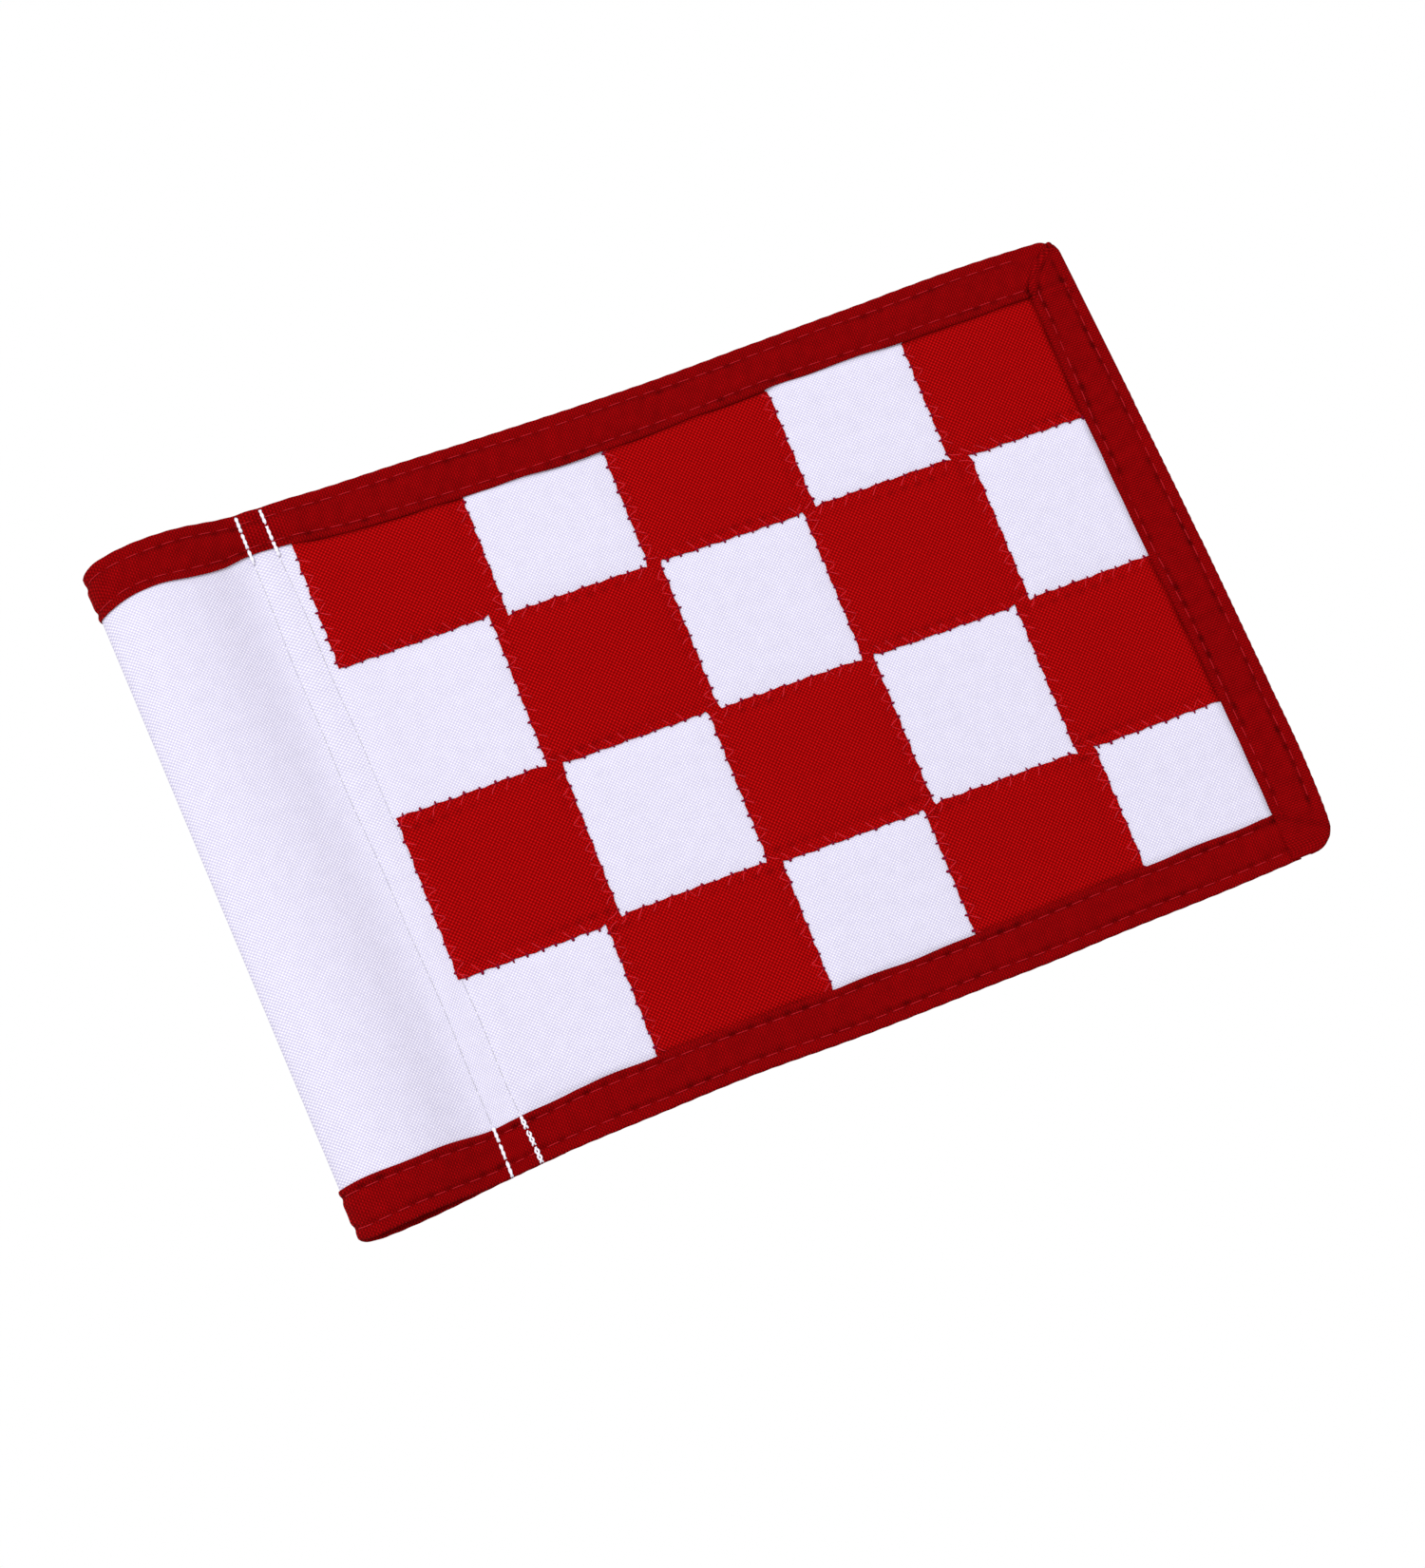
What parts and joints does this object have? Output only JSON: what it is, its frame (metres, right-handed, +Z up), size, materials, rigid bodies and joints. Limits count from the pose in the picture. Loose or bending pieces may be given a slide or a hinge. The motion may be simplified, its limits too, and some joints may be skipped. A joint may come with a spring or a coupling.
{
  "type": "golf pin flag",
  "caption": "Small sewn checkered golf pin flag, red and white, with taped edges and a stitched sleeve that slides over a practice-green stick.",
  "frame": {"origin": "on the stick's axis, in the plane of the sleeve's lower mouth", "axes": "+Z up along the sleeve, +X from the sleeve to the fly edge, the front faces -Y"},
  "size_m": [0.225, 0.0158, 0.152],
  "materials": {
    "white_nylon": "matte",
    "red_nylon": "matte",
    "red_tape": "matte",
    "white_thread": "satin",
    "red_thread": "satin"
  },
  "bodies": {
    "sleeve": {"sleeve_cloth": "white_nylon", "sleeve_bottom_binding": "red_tape", "sleeve_top_binding": "red_tape", "seam_stitch_row_1": "white_thread", "seam_stitch_row_2": "white_thread", "sleeve_bottom_binding_stitches": "red_thread", "sleeve_top_binding_stitches": "red_thread"},
    "column_1": {"white_cloth_c1": "white_nylon", "red_square_r1_c1": "red_nylon", "red_square_r3_c1": "red_nylon", "top_binding_c1": "red_tape", "bottom_binding_c1": "red_tape", "binding_stitches_c1": "red_thread", "zigzag_stitches_c1": "red_thread", "seam_allowance": "white_nylon"},
    "column_2": {"white_cloth_c2": "white_nylon", "red_square_r2_c2": "red_nylon", "red_square_r4_c2": "red_nylon", "top_binding_c2": "red_tape", "bottom_binding_c2": "red_tape", "binding_stitches_c2": "red_thread", "zigzag_stitches_c2": "red_thread"},
    "column_3": {"white_cloth_c3": "white_nylon", "red_square_r1_c3": "red_nylon", "red_square_r3_c3": "red_nylon", "top_binding_c3": "red_tape", "bottom_binding_c3": "red_tape", "binding_stitches_c3": "red_thread", "zigzag_stitches_c3": "red_thread"},
    "column_4": {"white_cloth_c4": "white_nylon", "red_square_r2_c4": "red_nylon", "red_square_r4_c4": "red_nylon", "top_binding_c4": "red_tape", "bottom_binding_c4": "red_tape", "binding_stitches_c4": "red_thread", "zigzag_stitches_c4": "red_thread"},
    "column_5": {"white_cloth_c5": "white_nylon", "red_square_r1_c5": "red_nylon", "red_square_r3_c5": "red_nylon", "top_binding_c5": "red_tape", "bottom_binding_c5": "red_tape", "binding_stitches_c5": "red_thread", "zigzag_stitches_c5": "red_thread", "fly_binding": "red_tape", "fly_binding_stitches": "red_thread"}
  },
  "joints": [
    {"name": "seam_bend", "type": "hinge", "parent": "sleeve", "child": "column_1", "pos_m": [0.0318, -0.0002, 0.076], "axis": [0, 0, 1], "range_deg": [-35, 35], "stiffness_Nm_per_rad": 0.002},
    {"name": "cloth_bend_1", "type": "hinge", "parent": "column_1", "child": "column_2", "pos_m": [0.066, -0.0002, 0.076], "axis": [0, 0, 1], "range_deg": [-35, 35], "stiffness_Nm_per_rad": 0.002},
    {"name": "cloth_bend_2", "type": "hinge", "parent": "column_2", "child": "column_3", "pos_m": [0.102, -0.0002, 0.076], "axis": [0, 0, 1], "range_deg": [-35, 35], "stiffness_Nm_per_rad": 0.002},
    {"name": "cloth_bend_3", "type": "hinge", "parent": "column_3", "child": "column_4", "pos_m": [0.138, -0.0002, 0.076], "axis": [0, 0, 1], "range_deg": [-35, 35], "stiffness_Nm_per_rad": 0.002},
    {"name": "cloth_bend_4", "type": "hinge", "parent": "column_4", "child": "column_5", "pos_m": [0.174, -0.0002, 0.076], "axis": [0, 0, 1], "range_deg": [-35, 35], "stiffness_Nm_per_rad": 0.002}
  ]
}
